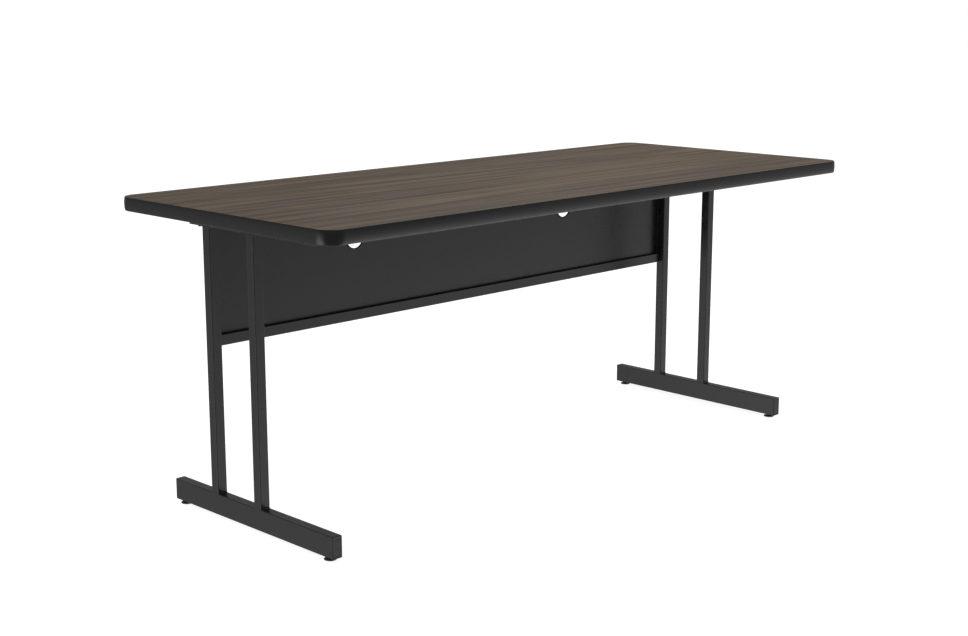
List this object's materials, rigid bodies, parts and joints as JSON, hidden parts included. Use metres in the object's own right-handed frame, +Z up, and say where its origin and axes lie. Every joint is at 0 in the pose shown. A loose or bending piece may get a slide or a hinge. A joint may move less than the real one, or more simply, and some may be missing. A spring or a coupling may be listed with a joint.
{
  "type": "teacher desk",
  "caption": "Rectangular work desk with a rounded-corner laminate top, black edge molding, T-shaped steel leg frames, a modesty panel with cable holes and levelling glides.",
  "frame": {"origin": "on the floor under the middle of the desktop, at the glides' undersides", "axes": "+Z up; X along the desktop's length, +X to a seated person's right; -Y is the side where the person sits and +Y the modesty panel's side"},
  "size_m": [1.8288, 0.762, 0.7399],
  "materials": {
    "wood_laminate": "matt walnut-pattern laminate, grain along X",
    "particle_board": "raw particle board",
    "backer": "brown phenolic backer sheet, matt",
    "edge_molding": "black vinyl, satin",
    "black_steel": "black powder coat, semi-gloss, fine texture",
    "black_plastic": "black moulded plastic",
    "black_nylon": "black moulded nylon, scuffed at the rim",
    "black_rubber": "black rubber",
    "zinc": "bright zinc plating",
    "black_screw": "black oxide"
  },
  "bodies": {
    "frame": {"backer_sheet": "backer", "core_board": "particle_board", "edge_molding": "edge_molding", "glide_insert_front_left": "zinc", "glide_insert_front_right": "zinc", "glide_insert_rear_left": "zinc", "glide_insert_rear_right": "zinc", "left_cable_grommet": "black_rubber", "left_foot_cap_front": "black_plastic", "left_foot_cap_rear": "black_plastic", "left_foot_tube": "black_steel", "left_front_upright": "black_steel", "left_panel_flange": "black_steel", "left_panel_screw_1": "black_screw", "left_panel_screw_2": "black_screw", "left_panel_screw_3": "black_screw", "left_rear_upright": "black_steel", "left_support_cap_front": "black_plastic", "left_support_cap_rear": "black_plastic", "left_support_screw_1": "black_screw", "left_support_screw_2": "black_screw", "left_support_screw_3": "black_screw", "left_support_screw_4": "black_screw", "left_top_support": "black_steel", "modesty_panel": "black_steel", "panel_flange_screw_1": "black_screw", "panel_flange_screw_2": "black_screw", "panel_flange_screw_3": "black_screw", "panel_flange_screw_4": "black_screw", "panel_foot_lip": "black_steel", "panel_foot_web": "black_steel", "panel_top_flange": "black_steel", "right_cable_grommet": "black_rubber", "right_foot_cap_front": "black_plastic", "right_foot_cap_rear": "black_plastic", "right_foot_tube": "black_steel", "right_front_upright": "black_steel", "right_panel_flange": "black_steel", "right_panel_screw_1": "black_screw", "right_panel_screw_2": "black_screw", "right_panel_screw_3": "black_screw", "right_rear_upright": "black_steel", "right_support_cap_front": "black_plastic", "right_support_cap_rear": "black_plastic", "right_support_screw_1": "black_screw", "right_support_screw_2": "black_screw", "right_support_screw_3": "black_screw", "right_support_screw_4": "black_screw", "right_top_support": "black_steel", "top_laminate": "wood_laminate"},
    "glide_front_left": {"glide_stem_front_left": "zinc", "glide_base_front_left": "black_nylon"},
    "glide_front_right": {"glide_stem_front_right": "zinc", "glide_base_front_right": "black_nylon"},
    "glide_rear_left": {"glide_stem_rear_left": "zinc", "glide_base_rear_left": "black_nylon"},
    "glide_rear_right": {"glide_stem_rear_right": "zinc", "glide_base_rear_right": "black_nylon"}
  },
  "joints": [
    {"name": "glide_travel_front_left", "type": "slide", "parent": "frame", "child": "glide_front_left", "axis": [0, 0, -1], "range_m": [0, 0.0127]},
    {"name": "glide_travel_front_right", "type": "slide", "parent": "frame", "child": "glide_front_right", "axis": [0, 0, -1], "range_m": [0, 0.0127]},
    {"name": "glide_travel_rear_left", "type": "slide", "parent": "frame", "child": "glide_rear_left", "axis": [0, 0, -1], "range_m": [0, 0.0127]},
    {"name": "glide_travel_rear_right", "type": "slide", "parent": "frame", "child": "glide_rear_right", "axis": [0, 0, -1], "range_m": [0, 0.0127]}
  ]
}
